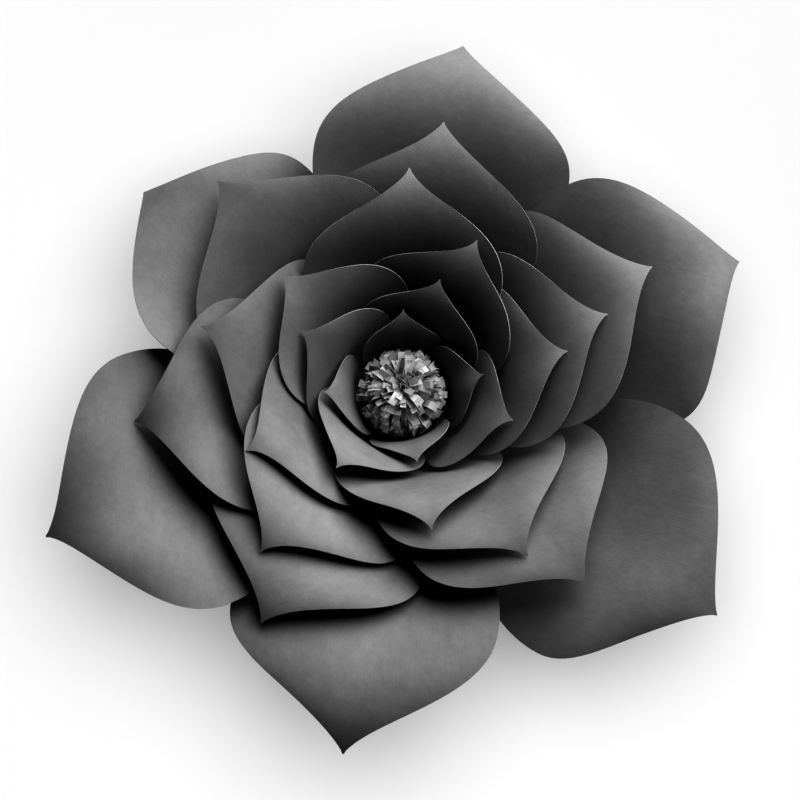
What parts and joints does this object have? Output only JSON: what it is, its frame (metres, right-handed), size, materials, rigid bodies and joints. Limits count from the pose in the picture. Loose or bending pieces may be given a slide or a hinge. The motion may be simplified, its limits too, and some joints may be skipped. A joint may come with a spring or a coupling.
{
  "type": "giant paper flower",
  "caption": "Giant flower of curled black card petals in overlapping rings round a ball of cut paper fringe, glued to a flat card disc at its back.",
  "frame": {"origin": "middle of the base disc's back face, the flat face that the flower lies on or is fixed to a wall by", "axes": "+Z along the flower's axis, out of its face; +Y towards its top petal; +X to the right as seen from the front"},
  "size_m": [0.3785, 0.39, 0.0829],
  "materials": {
    "petal_card": "matte embossed black card with paler cut edges",
    "base_card": "matte black stiff card",
    "fringe_paper": "matte grey paper strips"
  },
  "bodies": {
    "root": {"base_disc": "base_card", "ring_1_petal_1": "petal_card", "ring_1_petal_2": "petal_card", "ring_1_petal_3": "petal_card", "ring_1_petal_4": "petal_card", "ring_2_petal_1": "petal_card", "ring_2_petal_2": "petal_card", "ring_2_petal_3": "petal_card", "ring_2_petal_4": "petal_card", "ring_3_petal_1": "petal_card", "ring_3_petal_2": "petal_card", "ring_3_petal_3": "petal_card", "ring_3_petal_4": "petal_card", "ring_3_petal_5": "petal_card", "ring_4_petal_1": "petal_card", "ring_4_petal_2": "petal_card", "ring_4_petal_3": "petal_card", "ring_4_petal_4": "petal_card", "ring_4_petal_5": "petal_card", "ring_5_petal_1": "petal_card", "ring_5_petal_2": "petal_card", "ring_5_petal_3": "petal_card", "ring_5_petal_4": "petal_card", "ring_5_petal_5": "petal_card", "ring_5_petal_6": "petal_card", "ring_6_petal_1": "petal_card", "ring_6_petal_2": "petal_card", "ring_6_petal_3": "petal_card", "ring_6_petal_4": "petal_card", "ring_6_petal_5": "petal_card", "ring_6_petal_6": "petal_card", "fringed_centre": "fringe_paper"}
  },
  "joints": []
}
